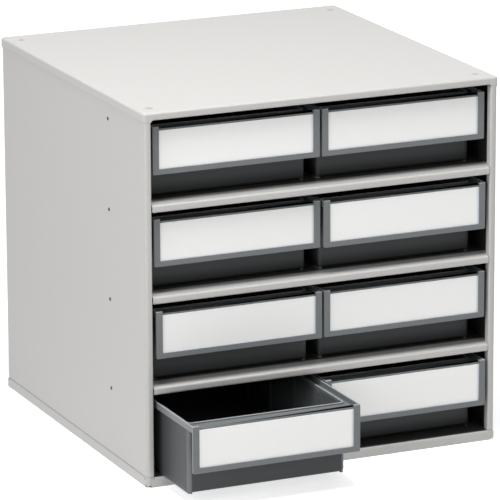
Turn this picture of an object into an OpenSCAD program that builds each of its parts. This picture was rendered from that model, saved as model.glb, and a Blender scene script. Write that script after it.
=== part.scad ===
// Parts bin cabinet: a folded steel cabinet with four shelf levels of two
// moulded plastic bins, each with a hanging label front that doubles as a grip.
// Millimetres. X to the right, Y to the back, Z up. The origin is on the floor,
// at the centre of the cabinet's own footprint; the front plane is y = -cab_d / 2.

/* [Cabinet] */
// Outside width of the cabinet
cab_w = 400; // [380:5:440]
// Outside depth of the cabinet
cab_d = 400; // [370:5:440]
// Outside height of the cabinet
cab_h = 395; // [385:1:420]
// Height of the base pan's skirt, up to the lowest floor
base_h = 11; // [8:0.5:14]
// Height of the top panel's front lip
top_lip_h = 8; // [6:0.5:10]
// Height of the top panel's side and rear flanges
top_flange_h = 10; // [8:0.5:14]

/* [Sheet metal] */
// Thickness of the cabinet's sheet steel
sheet_t = 0.8; // [0.7:0.1:1.2]
// Centreline radius of an ordinary fold
fold_r = 1.4; // [1.2:0.1:1.8]
// Outside radius of the soft front edges of top, base and shelves
nose_r = 2.4; // [2:0.1:3]
// Outside radius of the cabinet's upright front corners
corner_r = 3.5; // [2.5:0.5:4.5]
// Width of the side panel's front stile
stile_w = 8.5; // [7:0.5:11]
// Depth of the stile's inner return
stile_return = 8; // [6:0.5:10]
// Height of a shelf's front lip
shelf_lip_h = 8; // [6:0.5:10]
// Gap between the end of a shelf's lip and the stile
lip_gap = 0.6; // [0.3:0.1:1]
// Depth of the return under a front lip
lip_return = 7; // [5:0.5:9]
// Width of the flanges that join the sheets
joint_flange = 10; // [8:0.5:11]
// Width of the base pan's turned-in foot flange
foot_flange = 12; // [9:0.5:16]
// Radius of the base pan's lower front corners
foot_corner_r = 5; // [3:0.5:7]

/* [Stacking dimples] */
// Radius of the dimples near the top's corners
dimple_r = 5; // [3:0.5:7]
// Depth of a dimple
dimple_depth = 0.5; // [0.3:0.1:0.6]
// Distance of a dimple's centre from the side
dimple_in_x = 16; // [14:1:24]
// Distance of a dimple's centre from the front or back
dimple_in_y = 22; // [16:1:32]

/* [Bins] */
// Gap between a bin and the stile beside it
side_gap = 4.2; // [2:0.2:5]
// Gap between the two bins of a row
mid_gap = 2.6; // [1.6:0.2:4]
// Gap between a bin's rim and the lip above it
head_gap = 8.5; // [5:0.5:12]
// How far a bin's front lies behind the front plane when fully home
home_recess = 6.6; // [3:0.2:9]
// Space left behind a bin that is fully home
home_gap = 0.8; // [0.5:0.1:2]
// Wall thickness of a bin
wall_t = 2; // [1.6:0.1:2.6]
// Distance from the body's outside to the rim's outside
rim_w = 5.3; // [4.5:0.1:6.5]
// Thickness of the rim's channel and border
rim_t = 1.5; // [1.2:0.1:2]
// Height of the rim's upright border
border_h = 7.2; // [6:0.2:8.4]
// Depth of the bin's wall top below the border
wall_drop = 3.8; // [2.6:0.1:4.6]
// Radius of the body's upright corners
body_r = 4.5; // [3.5:0.5:6]
// Radius along the body's lower side edges
belly_r = 3; // [2.8:0.2:6]
// Radius along the body's lower front and rear edges
toe_r = 3.2; // [3:0.2:4.6]
// Height of the runners that a bin stands on
runner_h = 1; // [0.6:0.1:1.4]
// Width of a runner
runner_w = 4; // [3:0.5:6]
// Distance of the runners inside the body's outline
runner_in = 0.6; // [0.4:0.1:1]

/* [Label front] */
// Height of the hanging label front
plate_h = 50; // [40:1:54]
// Distance from the label front's face to the body's front wall
plate_reach = 25.5; // [20:0.5:30]
// Width of the uprights beside the label
post_w = 7; // [5:0.5:9]
// Height of the bar under the label
bar_h = 5.6; // [4.4:0.2:8]
// Thickness of the frame in front of the card
frame_t = 1; // [0.8:0.1:1.4]
// Width of the slot that holds the card
slot_t = 0.9; // [0.7:0.1:1.2]
// Thickness of the plate behind the card
backing_t = 1.5; // [1.2:0.1:2]
// Depth of the slot inside the uprights and the bar
slot_in = 2.2; // [1.5:0.1:3]
// Distance from the border's top down to the backing plate's top
backing_drop = 2.6; // [2:0.1:3.2]
// Radius of the front's lower outer corners
plate_r = 1.6; // [1:0.2:3]
// Thickness of a label card
card_t = 0.6; // [0.3:0.1:0.6]
// Distance from the border's top down to a card's top
card_drop = 4.4; // [3.4:0.1:5.4]
// Clearance around a card in its slot
card_play = 0.3; // [0.2:0.1:0.5]

/* [Divider slots] */
// Number of divider slots along each side wall
slots = 5; // [3:1:6]
// Distance between divider slots
slot_pitch = 60; // [45:1:60]
// Distance from the body's front wall to the first slot
slot_first = 60; // [40:1:62]
// Clear width of a divider slot
slot_w = 2.4; // [1.6:0.2:3]
// Thickness of the ribs that form a slot
rib_t = 1.4; // [1:0.1:2]
// How far the ribs stand in from the wall
rib_in = 1.6; // [1:0.1:2]
// Distance from the body's wall top to the ribs' top
rib_drop = 5; // [3:0.5:8]

/* [Bin stops] */
// Distance of the stop pins behind the front plane
stop_back = 96; // [80:1:120]
// Radius of a stop pin's tip
stop_r = 1.3; // [1:0.1:1.6]
// Radius of a stop pin's shoulder
shoulder_r = 3; // [2.4:0.2:4]
// Radius of a stop pin's outside head
head_r = 2; // [1.8:0.1:2.6]
// Thickness of a stop pin's outside head
head_t = 0.5; // [0.3:0.1:0.6]
// How far a pin's tip reaches under the rim
stop_reach = 3; // [2:0.2:3.6]
// Height of the stop lugs at a bin's rear corners
lug_h = 12; // [8:0.5:16]
// Thickness of a stop lug
lug_t = 4; // [3:0.5:6]
// Small clearance between a pin and the parts beside it
pin_gap = 0.3; // [0.2:0.1:0.5]

/* [Rear rivets] */
// Number of rivets up each side of the back panel
rivets = 5; // [4:1:7]
// Radius of a rivet's head
rivet_head_r = 3.2; // [2.6:0.2:4]
// Radius of a rivet's shank
rivet_r = 1.6; // [1.2:0.1:1.8]
// Distance from the top and bottom rivets to the panel's ends
rivet_end = 30; // [20:1:40]
// Radial clearance of a rivet or a pin in its hole
hole_play = 0.05; // [0.03:0.01:0.1]

/* [Bin positions] */
// Distance by which the lowest left bin is pulled out
pulled_out = 91; // [0:1:180]
// Distance by which the lowest right bin stands proud
nudged_out = 1.8; // [0:0.2:20]
// Recess of the second row's left bin
recess_2_left = 5.6; // [0:0.2:6]
// Recess of the second row's right bin
recess_2_right = 2; // [0:0.2:6]
// Recess of the third row's left bin
recess_3_left = 1.2; // [0:0.2:6]
// Recess of the third row's right bin
recess_3_right = 2; // [0:0.2:6]

/* [Hidden] */
$fn = 64;
rows = 4;
eps = 0.01;
steel = [0.86, 0.86, 0.85];
grey_plastic = [0.45, 0.47, 0.48];
card_white = [0.95, 0.95, 0.94];
zinc = [0.7, 0.7, 0.68];
black_oxide = [0.14, 0.14, 0.14];

// Planes and heights of the cabinet
front_y = -cab_d / 2;
rear_y = cab_d / 2;
half_w = cab_w / 2;
pitch = (cab_h - base_h) / rows;
side_x = half_w - sheet_t;              // outside face of a side panel
side_in_x = side_x - sheet_t;           // inside face of a side panel
stile_in_x = half_w - stile_w;          // inside face of a stile
back_out_y = rear_y - sheet_t;          // rear face of the back panel
back_in_y = back_out_y - sheet_t;       // front face of the back panel
back_half_w = half_w - corner_r;        // the back panel stops short of the rear corners
wall_top_z = cab_h - nose_r;            // top edge of side and back walls, clear of the top's soft edge
flange_top_z = cab_h - sheet_t;         // top of the flanges that carry the top panel
stile_foot_z = base_h - nose_r;         // lower end of a stile
stile_top_z = cab_h - top_flange_h;     // upper end of a stile
nose_bend = nose_r - sheet_t / 2;       // centreline radius of a soft front edge
rear_bend = corner_r - 3 * sheet_t / 2; // centreline radius of the side's rear fold
rivet_x = (back_half_w + side_x - joint_flange) / 2; // middle of the seam behind the back panel

// Sizes of a bin, from the space that a row leaves
bin_w = (cab_w - 2 * stile_w - 2 * side_gap - mid_gap) / 2;
bin_h = pitch - shelf_lip_h - head_gap;
bin_l = back_in_y - home_gap - (front_y + home_recess);
bin_x = (mid_gap + bin_w) / 2;
body_w = bin_w - 2 * rim_w;
body_end = bin_l - rim_w;
wall_top = bin_h - wall_drop;
lip_z = bin_h - border_h;               // underside of the rim
floor_top = runner_h + wall_t;          // inside face of a bin's floor
runner_root = 0.8 * wall_t;             // how far a runner reaches into that floor
plate_t = frame_t + slot_t + backing_t;
plate_z = bin_h - plate_h;              // lower edge of the label front
backing_top = bin_h - backing_drop;
cavity_w = body_w - 2 * wall_t;

// Height of the stop pins above a floor: just under the rim
stop_z = lip_z - pin_gap - stop_r;

function floor_z(row) = base_h + (rows - row) * pitch;
// How far each bin's front stands out of the front plane
BIN_OUT = [
  [-home_recess, -home_recess],
  [-recess_2_left, -recess_2_right],
  [-recess_3_left, -recess_3_right],
  [pulled_out, nudged_out]
];
SIDES = ["left", "right"];

// ---------------------------------------------------------------- profiles

// A strip of sheet of thickness t folded along a path of square corners;
// bends holds the centreline radius of the fold at each of them.
module folded(path, t, bends) {
  last = len(path) - 1;
  for (i = [0 : last - 1]) {
    way = (path[i + 1] - path[i]) / norm(path[i + 1] - path[i]);
    a = path[i] + way * (i == 0 ? 0 : bends[i - 1]);
    b = path[i + 1] - way * (i == last - 1 ? 0 : bends[i]);
    side = [abs(way[1]), abs(way[0])] * t / 2;
    low = [min(a[0], b[0]), min(a[1], b[1])] - side;
    high = [max(a[0], b[0]), max(a[1], b[1])] + side;
    translate(low) square(high - low);
  }
  for (i = [1 : last - 1]) fold(path[i - 1], path[i], path[i + 1], t, bends[i - 1]);
}

// The quarter bend at corner p of a folded strip
module fold(before, p, after, t, r) {
  way_in = (p - before) / norm(p - before);
  way_out = (after - p) / norm(after - p);
  centre = p - way_in * r + way_out * r;
  toward = way_in - way_out;
  reach = r + t;
  translate(centre) intersection() {
    difference() {
      circle(r = r + t / 2);
      circle(r = r - t / 2);
    }
    translate([min(0, toward[0]) * reach, min(0, toward[1]) * reach]) square(reach);
  }
}

// A rectangle from y = 0 to y = l with all four corners rounded
module round_rect(w, l, r) {
  translate([-w / 2 + r, 0]) square([w - 2 * r, l]);
  translate([-w / 2, r]) square([w, l - 2 * r]);
  for (x = [-1, 1], y = [r, l - r]) translate([x * (w / 2 - r), y]) circle(r = r);
}

// A rectangle standing on y = 0 with its two lower corners rounded
module tub_rect(w, h, r) {
  translate([-w / 2 + r, 0]) square([w - 2 * r, h]);
  translate([-w / 2, r]) square([w, h - r]);
  for (x = [-1, 1]) translate([x * (w / 2 - r), r]) circle(r = r);
}

// A block with rounded uprights and rounded lower edges: plan w by l,
// side_r under the long sides and end_r under the two ends
module tub(w, l, h, plan_r, side_r, end_r) {
  intersection() {
    linear_extrude(h) round_rect(w, l, plan_r);
    translate([0, l, 0]) rotate([90, 0, 0]) linear_extrude(l) tub_rect(w, h, side_r);
    translate([-w / 2, l / 2, 0]) rotate([90, 0, 90]) linear_extrude(w) tub_rect(l, h, end_r);
  }
}

// An upside-down tub, its top at z = 0
module cap_block(w, l, h, plan_r, edge_r) {
  mirror([0, 0, 1]) tub(w, l, h, plan_r, edge_r, edge_r);
}

// A sheet cap: a top plate with a skirt of height h all round
module sheet_cap(h) {
  difference() {
    translate([0, front_y, 0]) cap_block(cab_w, cab_d, h, corner_r, nose_r);
    translate([0, front_y + sheet_t, -sheet_t])
      cap_block(cab_w - 2 * sheet_t, cab_d - 2 * sheet_t, h, corner_r - sheet_t, nose_r - sheet_t);
  }
}

// Mirrors its children to the right-hand side when side is 1
module on_side(side) {
  mirror([side, 0, 0]) children();
}

// ----------------------------------------------------------------- cabinet

module dimple_places() {
  for (x = [-1, 1], y = [-1, 1])
    translate([x * (half_w - dimple_in_x), y * (cab_d / 2 - dimple_in_y), 0]) children();
}

// The skirt is cut back to the lip's height between the stiles
module top_panel() color(steel) translate([0, 0, cab_h]) difference() {
  lip_step = top_flange_h - top_lip_h;
  union() {
    difference() {
      sheet_cap(top_flange_h);
      translate([0, front_y + corner_r, -top_lip_h]) rotate([90, 0, 0]) linear_extrude(2 * corner_r)
        mirror([0, 1, 0]) tub_rect(2 * stile_in_x, top_flange_h, lip_step);
    }
    translate([-stile_in_x + lip_step, front_y + sheet_t / 2, -top_lip_h])
      cube([2 * (stile_in_x - lip_step), lip_return, sheet_t]);
    dimple_places() translate([0, 0, -sheet_t - dimple_depth])
      cylinder(r = dimple_r + sheet_t, h = sheet_t);
  }
  dimple_places() translate([0, 0, -dimple_depth]) cylinder(r = dimple_r, h = sheet_t);
}

// What lies outside a rounded corner of radius r that is at the origin and
// opens towards +x and +y
module corner_cut(r) {
  difference() {
    translate([-eps, -eps]) square(r + eps);
    translate([r, r]) circle(r = r);
  }
}

// A skirted floor with a turned-in foot flange, notched where the stiles stand
module base_pan() color(steel) difference() {
  union() {
    translate([0, 0, base_h]) sheet_cap(base_h);
    for (x = [-1, 1]) translate([x * (half_w - foot_flange / 2 - sheet_t / 2), 0, 0])
      foot_strip(foot_flange, cab_d - 2 * corner_r);
    for (y = [-1, 1]) translate([0, y * (cab_d / 2 - foot_flange / 2 - sheet_t / 2), 0])
      foot_strip(cab_w - 2 * corner_r, foot_flange);
  }
  for (side = [0, 1]) on_side(side) {
    translate([-half_w - eps, front_y - eps, stile_foot_z])
      cube([stile_w + eps, stile_return + pin_gap + eps, base_h]);
    translate([-half_w, front_y + foot_corner_r, 0]) rotate([90, 0, 0])
      linear_extrude(2 * foot_corner_r) corner_cut(foot_corner_r);
    translate([-half_w - eps, front_y, 0]) rotate([90, 0, 90])
      linear_extrude(foot_corner_r) corner_cut(foot_corner_r);
  }
}

// A flat strip on the floor, centred
module foot_strip(w, l) {
  translate([-w / 2, -l / 2, 0]) cube([w, l, sheet_t]);
}

// Plan outline of the left side panel: rear flange, side, stile and return
module side_plan() {
  mid = sheet_t / 2;
  x_out = -side_x + mid;
  x_in = -stile_in_x - mid;
  y_front = front_y + mid;
  y_back = back_in_y - mid;
  folded([[x_in, front_y + stile_return], [x_in, y_front], [x_out, y_front], [x_out, y_back],
    [x_out + joint_flange, y_back]], sheet_t, [fold_r, corner_r - mid, rear_bend]);
}

// Plan area of the stile, which is shorter above and longer below than the side
module stile_plan() {
  translate([-side_x, front_y]) square([side_x - stile_in_x, stile_return]);
}

// Profile of the side's folded top and bottom flanges, seen from the front
module flange_profile() {
  mid = sheet_t / 2;
  folded([[-side_x + joint_flange, base_h + mid], [-side_x + mid, base_h + mid],
    [-side_x + mid, flange_top_z - mid], [-side_x + joint_flange, flange_top_z - mid]],
    sheet_t, [fold_r, fold_r]);
}

// The left side panel, with holes for stop pins and rivets
module side_panel() {
  flange_l = cab_d - stile_return - 2 * joint_flange;
  difference() {
    union() {
      translate([0, 0, base_h]) linear_extrude(wall_top_z - base_h) difference() {
        side_plan();
        stile_plan();
      }
      translate([0, front_y + stile_return + joint_flange / 2 + flange_l, 0]) rotate([90, 0, 0])
        linear_extrude(flange_l) flange_profile();
      translate([0, 0, stile_foot_z]) linear_extrude(stile_top_z - stile_foot_z) intersection() {
        side_plan();
        stile_plan();
      }
    }
    stop_places() translate([-half_w, 0, 0]) rotate([0, 90, 0])
      cylinder(r = stop_r + hole_play, h = 3 * sheet_t);
    rivet_places() translate([0, back_in_y - 2 * sheet_t, 0]) rotate([-90, 0, 0])
      cylinder(r = rivet_r + hole_play, h = 3 * sheet_t);
  }
}

module left_side() color(steel) side_panel();
module right_side() color(steel) on_side(1) side_panel();

module back_panel() color(steel) difference() {
  translate([-back_half_w, back_in_y, base_h]) cube([2 * back_half_w, sheet_t, wall_top_z - base_h]);
  for (side = [0, 1]) on_side(side) rivet_places() translate([0, back_in_y - sheet_t, 0])
    rotate([-90, 0, 0]) cylinder(r = rivet_r + hole_play, h = 3 * sheet_t);
}

// Front-to-back profile of a shelf whose top is at 0: return, lip, plate, rear flange
module shelf_profile() {
  mid = sheet_t / 2;
  folded([[front_y + lip_return, -shelf_lip_h + mid], [front_y + mid, -shelf_lip_h + mid],
    [front_y + mid, -mid], [front_y + 3 * nose_r, -mid]], sheet_t, [fold_r, nose_bend]);
}

// A shelf: a plate with a rolled front lip between the stiles, and flanges
// folded down along the sides and the rear
module shelf(z) color(steel) translate([0, 0, z]) {
  plate_y = front_y + stile_return + pin_gap;
  lip_half = stile_in_x - lip_gap;
  translate([-lip_half, 0, 0]) rotate([90, 0, 90]) linear_extrude(2 * lip_half) shelf_profile();
  translate([-lip_half, front_y + 2 * nose_r, -sheet_t])
    cube([2 * lip_half, plate_y + joint_flange - front_y - 2 * nose_r, sheet_t]);
  intersection() {
    translate([0, back_in_y, 0]) rotate([90, 0, 0]) linear_extrude(back_in_y - plate_y) folded([
      [-side_in_x + sheet_t / 2, -joint_flange], [-side_in_x + sheet_t / 2, -sheet_t / 2],
      [side_in_x - sheet_t / 2, -sheet_t / 2], [side_in_x - sheet_t / 2, -joint_flange]],
      sheet_t, [fold_r, fold_r]);
    translate([-half_w, plate_y, -joint_flange]) cube([cab_w, back_in_y - plate_y - joint_flange, cab_d]);
  }
  rear_run = joint_flange + fold_r;
  translate([-side_in_x + joint_flange, 0, 0]) rotate([90, 0, 90])
    linear_extrude(2 * (side_in_x - joint_flange)) folded([[back_in_y - 2 * rear_run, -sheet_t / 2],
      [back_in_y - sheet_t / 2, -sheet_t / 2], [back_in_y - sheet_t / 2, -joint_flange]], sheet_t, [fold_r]);
}

module shelf_upper() shelf(floor_z(1));
module shelf_middle() shelf(floor_z(2));
module shelf_lower() shelf(floor_z(3));

// ------------------------------------------------------------ pins, rivets

module stop_places() {
  for (row = [1 : rows]) translate([0, front_y + stop_back, floor_z(row) + stop_z]) children();
}

// A shouldered stop pin on the left side: head outside, tip under a bin's rim
module stop_pin() {
  rim_x = -(bin_x + bin_w / 2);
  rotate([0, 90, 0]) {
    translate([0, 0, -side_x - head_t]) cylinder(r = head_r, h = head_t);
    translate([0, 0, -side_x]) cylinder(r = stop_r, h = side_x + rim_x + stop_reach);
    translate([0, 0, -side_in_x]) cylinder(r = shoulder_r, h = side_in_x + rim_x - 2 * pin_gap);
  }
}

module left_stop_pins() color(black_oxide) stop_places() stop_pin();
module right_stop_pins() color(black_oxide) on_side(1) stop_places() stop_pin();

module rivet_places() {
  span = wall_top_z - base_h - 2 * rivet_end;
  for (i = [0 : rivets - 1])
    translate([-rivet_x, 0, base_h + rivet_end + i * span / (rivets - 1)]) children();
}

// A rivet through the back panel and the side panel's rear flange
module rivet() {
  rotate([-90, 0, 0]) {
    translate([0, 0, back_out_y]) cylinder(r = rivet_head_r, h = sheet_t);
    translate([0, 0, back_in_y - 2 * sheet_t]) cylinder(r = rivet_r, h = 3 * sheet_t);
    translate([0, 0, back_in_y - 2 * sheet_t]) cylinder(r = (rivet_r + rivet_head_r) / 2, h = sheet_t);
  }
}

module back_rivets() color(zinc) for (side = [0, 1]) on_side(side) rivet_places() rivet();

// -------------------------------------------------------------------- bins

// The body: a tub open at the top, with paired ribs for dividers
module bin_body() {
  body_l = body_end - plate_reach;
  difference() {
    translate([0, plate_reach, runner_h]) tub(body_w, body_l, wall_top - runner_h, body_r, belly_r, toe_r);
    bin_cavity(0);
  }
  for (side = [0, 1]) on_side(side) bin_runner();
  intersection() {
    bin_cavity(eps);
    for (side = [0, 1]) on_side(side) divider_ribs();
  }
}

// The space inside the walls, grown sideways by more
module bin_cavity(more) {
  cavity_l = body_end - plate_reach - 2 * wall_t;
  translate([0, plate_reach + wall_t - more, floor_top])
    tub(cavity_w + 2 * more, cavity_l + 2 * more, bin_h, body_r - wall_t, belly_r - wall_t, toe_r - wall_t);
}

// The runner along the left of the floor, which the bin stands and slides on
module bin_runner() {
  width = body_w - 2 * runner_in;
  run = body_end - plate_reach - 2 * runner_in;
  translate([0, plate_reach + runner_in, 0]) intersection() {
    linear_extrude(runner_h + runner_root) round_rect(width, run, body_r - runner_in);
    translate([-width / 2, 0, 0]) cube([runner_w, run, bin_h]);
  }
}

module divider_ribs() {
  foot = floor_top - wall_t / 2;
  for (i = [0 : slots - 1], s = [-1, 1])
    translate([-cavity_w / 2 - wall_t / 2, plate_reach + slot_first + i * slot_pitch
      + s * (slot_w + rib_t) / 2 - rib_t / 2, foot])
      cube([rib_in + wall_t / 2, rib_t, wall_top - rib_drop - foot]);
}

// The channelled rim: a sunk ledge and an upright border on three sides
module bin_rim() {
  difference() {
    union() {
      translate([0, 0, lip_z]) linear_extrude(rim_t) rim_plan(0, plate_t - backing_t);
      translate([0, 0, lip_z]) linear_extrude(border_h) difference() {
        rim_plan(0, plate_t - backing_t);
        rim_plan(rim_t, 0);
      }
    }
    translate([0, plate_reach + wall_t / 2, 0]) linear_extrude(bin_h + eps)
      round_rect(body_w - wall_t, body_end - plate_reach - wall_t, body_r - wall_t / 2);
  }
}

// Outline of the rim from y = start, moved in by inset on its sides and rear
module rim_plan(inset, start) {
  r = body_r - inset;
  half = bin_w / 2 - inset;
  end = bin_l - inset;
  translate([-half, start]) square([2 * half, end - r - start]);
  translate([-half + r, end - 2 * r]) square([2 * (half - r), 2 * r]);
  for (x = [-1, 1]) translate([x * (half - r), end - r]) circle(r = r);
}

// The lugs at the rear corners that meet the stop pins
module bin_lugs() {
  for (side = [0, 1]) on_side(side)
    translate([-bin_w / 2 + rim_t / 2, bin_l - rim_w - lug_t - body_r, lip_z - lug_h])
      cube([rim_w, lug_t, lug_h + rim_t / 2]);
}

// The hanging label front: uprights and a bar round a slot that is open at the top
module bin_front() {
  window_w = bin_w - 2 * post_w;
  difference() {
    translate([0, plate_t, plate_z]) rotate([90, 0, 0]) linear_extrude(plate_t)
      tub_rect(bin_w, plate_h, plate_r);
    translate([-window_w / 2, -eps, plate_z + bar_h]) cube([window_w, frame_t + 2 * eps, plate_h]);
    translate([-window_w / 2 - slot_in, frame_t, plate_z + bar_h - slot_in])
      cube([window_w + 2 * slot_in, slot_t, plate_h]);
    translate([-window_w / 2, -eps, backing_top]) cube([window_w, plate_t + 2 * eps, plate_h]);
  }
}

module bin() color(grey_plastic) {
  bin_body();
  bin_rim();
  bin_lugs();
  bin_front();
}

// A label card, standing on the bottom of its slot
module card() color(card_white) {
  card_w = bin_w - 2 * post_w + 2 * slot_in - 2 * card_play;
  bottom = plate_z + bar_h - slot_in;
  translate([-card_w / 2, frame_t + slot_t - card_t, bottom])
    cube([card_w, card_t, bin_h - card_drop - bottom]);
}

// Puts its children in a row, on the left (0) or the right (1)
module in_bay(row, side) {
  translate([(2 * side - 1) * bin_x, front_y - BIN_OUT[row - 1][side], floor_z(row)]) children();
}

top_panel();
base_pan();
left_side();
right_side();
back_panel();
shelf_upper();
shelf_middle();
shelf_lower();
left_stop_pins();
right_stop_pins();
back_rivets();
for (row = [1 : rows], side = [0, 1]) {
  bay = str("row", row, "_", SIDES[side]);
  in_bay(row, side) bin();
  in_bay(row, side) card();
}
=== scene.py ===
"""Finished surfaces of a parts bin cabinet: enamelled sheet steel, moulded bins, cards and pins.

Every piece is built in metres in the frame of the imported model, takes its place from that
model's own nodes and rides on its bodies. Lengths below are written in millimetres times MM.
"""

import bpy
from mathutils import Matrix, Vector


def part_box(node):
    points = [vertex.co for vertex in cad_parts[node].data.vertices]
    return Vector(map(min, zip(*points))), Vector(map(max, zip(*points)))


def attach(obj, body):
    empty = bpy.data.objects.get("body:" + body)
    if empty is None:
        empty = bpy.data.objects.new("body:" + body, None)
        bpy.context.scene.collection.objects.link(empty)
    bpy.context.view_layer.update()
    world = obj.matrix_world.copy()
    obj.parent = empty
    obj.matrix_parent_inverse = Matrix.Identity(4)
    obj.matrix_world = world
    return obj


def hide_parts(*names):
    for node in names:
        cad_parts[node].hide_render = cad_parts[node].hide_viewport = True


bl_info = {
    "name": "Parts bin cabinet",
    "version": (1, 0, 0),
    "blender": (4, 5, 0),
    "location": "View3D > Sidebar > Cabinet",
    "description": "Builds the visible sheet metal, bins, cards and pins of a parts bin cabinet",
    "category": "Object",
}

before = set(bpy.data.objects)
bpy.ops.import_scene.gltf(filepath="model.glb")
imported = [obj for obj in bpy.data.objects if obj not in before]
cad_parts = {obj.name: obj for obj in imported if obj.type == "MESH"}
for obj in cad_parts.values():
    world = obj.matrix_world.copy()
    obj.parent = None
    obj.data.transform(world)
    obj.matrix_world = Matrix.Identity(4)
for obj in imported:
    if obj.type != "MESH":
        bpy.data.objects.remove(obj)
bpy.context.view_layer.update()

import functools
import math

import bmesh
import bpy
from mathutils import Matrix, Vector

MM = 0.001
SIDES = ("left", "right")
BAYS = [f"row{row}_{side}" for row in (1, 2, 3, 4) for side in SIDES]
SHELVES = ("shelf_upper", "shelf_middle", "shelf_lower")
HIGHLIGHT_BAY = "row4_left"  # the bin whose body's front corners carry a full painted highlight
# How far in from the front a sheet of each kind keeps its own colour, before the painted shade of the bays.
BAY_SHADE_DEPTH = {"shell": 1.5 * MM, "side": 9 * MM, "shelf": 21 * MM}

OVER = 1.0 * MM  # how far a cutting tool, or a part that is joined on, runs past the face
FIT_GAP = 0.3 * MM  # gap behind a stile's return
SHARP_R = 0.4 * MM  # radius of an upright corner that looks sharp
CRISP = 0.3 * MM  # radius of the bins' small edges
BACK_CORNER = 1.0 * MM
CARD_CORNER = 0.8 * MM
CARD_EDGE = 0.15 * MM
CARD_COOL = 1.8 * MM  # height over which a card turns cooler at its foot
CARD_CURL = 3.5 * MM  # width of the painted shade at its right edge
FOOT_SHADE_FROM_TO = (18 * MM, 3 * MM)  # heights over which painted shade darkens a bin's foot, downwards
# Radius and drop below the rear face, in millimetres, from a rivet's sunk middle to the edge of its head.
RIVET_DOME = ((0.4, 0.65), (0.8, 0.6), (1.0, 0.15), (1.3, 0.0), (1.9, 0.08), (2.6, 0.3), (3.2, 0.62))

WELD = 0.002 * MM  # points closer than this become one
FLAT = math.radians(0.2)  # faces that differ by less are one
CREASE = math.radians(32)  # edges that turn more stay sharp
NOISE_SHIFT = 7.0  # metres that set one piece's noise apart from another's
SEAM_SHADE = 0.45  # lightness of the painted shade line at the seam above the base, against the enamel's
SKIRT_EDGE_SHADE = 0.92  # the same for the painted shade line at the lower edge of the top's skirt
LINING_PALE = 0.5  # how far a bin's inside goes from its body's painted-shade grey to its front's
BODY_DULL = 0.14  # how much rougher a bin's body is than its front

WHITE = (1.0, 1.0, 1.0, 1.0)
FLOOR_HALF = 12.0  # metres from the middle to the floor's edge
FLOOR_THICKNESS = 10 * MM
FLOOR_GREY = (0.75, 0.75, 0.75)  # the floor's own grey, as it is seen
FLOOR_GLOW = (0.66, 1.0)  # what it is seen to give off besides, near the cabinet and far from it
GLOW_FROM_TO = (0.5, 1.6)  # metres from the middle over which the one turns into the other
LAMPS = {  # each lamp's place from the cabinet's centre and its width, in metres
    "key": ((-0.3, -0.62, 2.1), 0.7),
    "left": ((-1.5, -0.7, 0.7), 1.1),
    "front": ((0.2, -1.8, 0.9), 1.1),
    "overhead": ((0.0, 0.0, 1.6), 1.4),
}


# ------------------------------------------------------------------ properties


def number(name, description, default, **settings):
    return bpy.props.FloatProperty(name=name, description=description, default=default, **settings)


def length(name, description, millimetres):
    """A length property, given in millimetres and kept in metres."""
    return number(name, description, millimetres * MM, min=0.0, unit="LENGTH", precision=4)


def count(name, description, default):
    return bpy.props.IntProperty(name=name, description=description, default=default, min=1)


def share(name, description, default):
    return number(name, description, default, min=0.0, max=1.0, subtype="FACTOR")


def colour(name, description, rgb):
    return bpy.props.FloatVectorProperty(
        name=name, description=description, default=rgb, size=3, min=0.0, max=1.0, subtype="COLOR"
    )


def angle(name, description, degrees):
    return number(name, description, math.radians(degrees), subtype="ANGLE")


def power(name, description, watts):
    return number(name, description, watts, min=0.0, unit="POWER")


class SheetSizes(bpy.types.PropertyGroup):
    """Folded sheet steel of the cabinet"""

    thickness: length("Sheet", "Thickness of the sheet steel", 0.8)
    fold: length("Fold", "Centreline radius of an ordinary fold", 1.4)
    nose: length("Nose", "Outside radius of the soft edges of top, base and shelves", 2.4)
    corner: length("Corner", "Outside radius of the upright corners", 3.5)
    stile: length("Stile", "Width of a side panel's front stile", 8.5)
    stile_return: length("Stile return", "Depth of the stile's inner return", 8.0)
    top_lip: length("Top lip", "Height of the top panel's front lip", 8.0)
    shelf_lip: length("Shelf lip", "Height of a shelf's front lip", 8.0)
    lip_gap: length("Lip gap", "Gap between the end of a shelf's lip and the stile", 0.6)
    lip_corner: length("Lip corner", "Radius of the lower corners of a shelf's lip", 1.6)
    lip_return: length("Lip return", "Depth of the return under a lip", 7.0)
    flange: length("Flange", "Width of the flanges that join the sheets", 10.0)
    foot_flange: length("Foot flange", "Width of the base pan's turned-in foot", 12.0)
    foot_corner: length("Foot corner", "Radius of the base pan's lower front corners", 5.0)
    cut_edge: length("Cut edge", "Radius of the enamel over a cut edge", 0.16)
    dimple: length("Dimple", "Radius of the dimples near the top's corners", 5.0)
    dimple_depth: length("Dimple depth", "Depth of a dimple", 0.5)
    dimple_edge: length("Dimple edge", "How softly a dimple's edge turns down", 0.9)
    dimple_in_x: length("Dimple from side", "Distance of a dimple from the side", 16.0)
    dimple_in_y: length("Dimple from front", "Distance of a dimple from the front or back", 22.0)


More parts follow.
